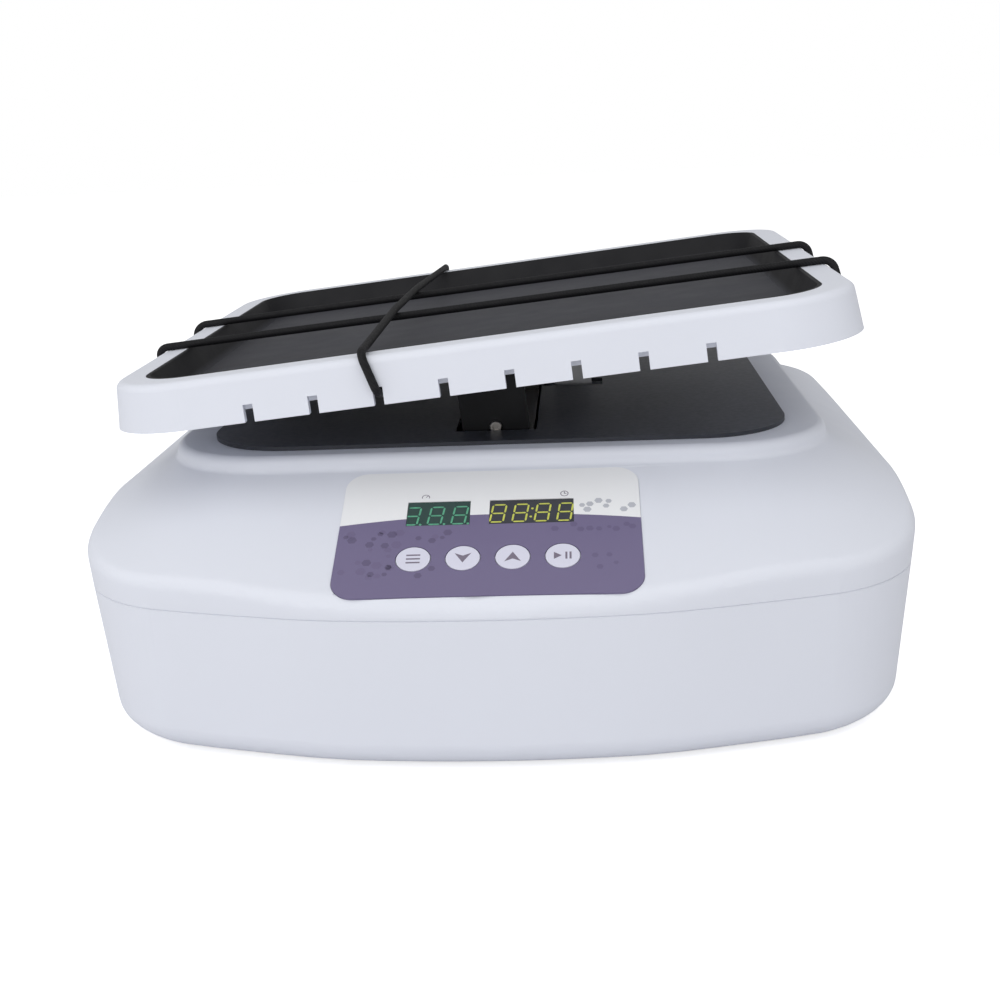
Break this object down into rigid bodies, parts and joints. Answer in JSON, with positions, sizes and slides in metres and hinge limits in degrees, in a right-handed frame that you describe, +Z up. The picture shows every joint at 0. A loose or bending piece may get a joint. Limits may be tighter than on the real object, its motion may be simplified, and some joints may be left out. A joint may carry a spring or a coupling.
{
  "type": "rocking platform shaker",
  "caption": "Bench see-saw shaker: a tray with a rubber mat and elastic cords rocks on a pivot over a moulded housing with a sloped digital control panel; a crank inside drives it.",
  "frame": {"origin": "on the table, at the middle of the bounding box seen from above, under the platform's pivot", "axes": "+Z up, -Y to the front where the keys are, +X to the right as seen from the front; the platform's pivot axis runs along Y"},
  "size_m": [0.304, 0.3461, 0.1587],
  "materials": {
    "housing_shell": "satin",
    "deck": "satin",
    "mat": "matte",
    "bracket": "satin",
    "screw_steel": "bright",
    "shaft_steel": "ground",
    "chassis": "zinc plated",
    "bush": "plain",
    "hub": "turned",
    "arm": "satin",
    "roller": "satin",
    "gearbox": "satin",
    "motor": "satin",
    "overlay": "satin",
    "key_cap": "satin",
    "display": "gloss",
    "board": "satin",
    "mains_plastic": "satin",
    "rocker": "satin",
    "pin_brass": "plated",
    "component": "satin",
    "foot_rubber": "matte",
    "cord": "braided",
    "cord_stop": "satin"
  },
  "bodies": {
    "housing": {"lower_housing": "housing_shell", "upper_housing": "housing_shell", "deck_plate": "deck", "deck_nuts": "screw_steel", "shell_screws": "screw_steel", "rubber_feet": "foot_rubber", "foot_screws": "screw_steel", "chassis_plate": "chassis", "chassis_screws": "screw_steel", "pivot_frame": "chassis", "frame_screws": "screw_steel", "pivot_bushes": "bush", "gearbox_case": "gearbox", "motor_can": "motor", "motor_bracket": "chassis", "gearbox_screws": "screw_steel", "motor_foot_screws": "screw_steel", "control_overlay": "overlay", "speed_display": "display", "time_display": "display", "control_board": "board", "tact_switches": "component", "board_screws": "screw_steel", "power_inlet": "mains_plastic", "inlet_pins": "pin_brass", "inlet_screws": "screw_steel", "switch_body": "mains_plastic", "power_board": "board", "power_posts": "screw_steel", "power_screws": "screw_steel", "power_components": "component"},
    "platform": {"pivot_shaft": "shaft_steel", "pivot_screws": "screw_steel", "platform_frame": "housing_shell", "platform_mat": "mat", "rocker_bracket": "bracket", "bracket_screws": "screw_steel", "drive_arm": "arm", "arm_screws": "screw_steel", "front_cross_cord": "cord", "rear_cross_cord": "cord", "long_cord": "cord", "cord_stops": "cord_stop"},
    "crank": {"eccentric_hub": "hub", "hub_screw": "screw_steel", "roller_screw": "screw_steel", "output_shaft": "shaft_steel"},
    "roller": {"crank_roller": "roller"},
    "menu_key_body": {"menu_key": "key_cap"},
    "down_key_body": {"down_key": "key_cap"},
    "up_key_body": {"up_key": "key_cap"},
    "start_key_body": {"start_key": "key_cap"},
    "switch_rocker_body": {"switch_rocker": "rocker"}
  },
  "joints": [
    {"name": "platform_rock", "type": "hinge", "parent": "housing", "child": "platform", "pos_m": [0, 0, 0.1025], "axis": [0, -1, 0], "range_deg": [-11.4, 0]},
    {"name": "crank_turn", "type": "hinge", "parent": "housing", "child": "crank", "pos_m": [0.029, 0, 0.0665], "axis": [0, 1, 0], "range_deg": [0, 180]},
    {"name": "roller_spin", "type": "hinge", "parent": "crank", "child": "roller", "pos_m": [0.029, 0, 0.06938], "axis": [0, 1, 0], "continuous": true},
    {"name": "menu_key_press", "type": "slide", "parent": "housing", "child": "menu_key_body", "axis": [0, 0.4337, -0.9011], "range_m": [0, 0.0004], "stiffness_N_per_m": 800},
    {"name": "down_key_press", "type": "slide", "parent": "housing", "child": "down_key_body", "axis": [0, 0.4337, -0.9011], "range_m": [0, 0.0004], "stiffness_N_per_m": 800},
    {"name": "up_key_press", "type": "slide", "parent": "housing", "child": "up_key_body", "axis": [0, 0.4337, -0.9011], "range_m": [0, 0.0004], "stiffness_N_per_m": 800},
    {"name": "start_key_press", "type": "slide", "parent": "housing", "child": "start_key_body", "axis": [0, 0.4337, -0.9011], "range_m": [0, 0.0004], "stiffness_N_per_m": 800},
    {"name": "switch_rock", "type": "hinge", "parent": "housing", "child": "switch_rocker_body", "pos_m": [-0.014, 0.171, 0.035], "axis": [1, 0, 0], "range_deg": [-16, 0]}
  ],
  "couplings": [
    {"joint": "crank_turn", "follows": "platform_rock", "ratio": -15.789}
  ]
}
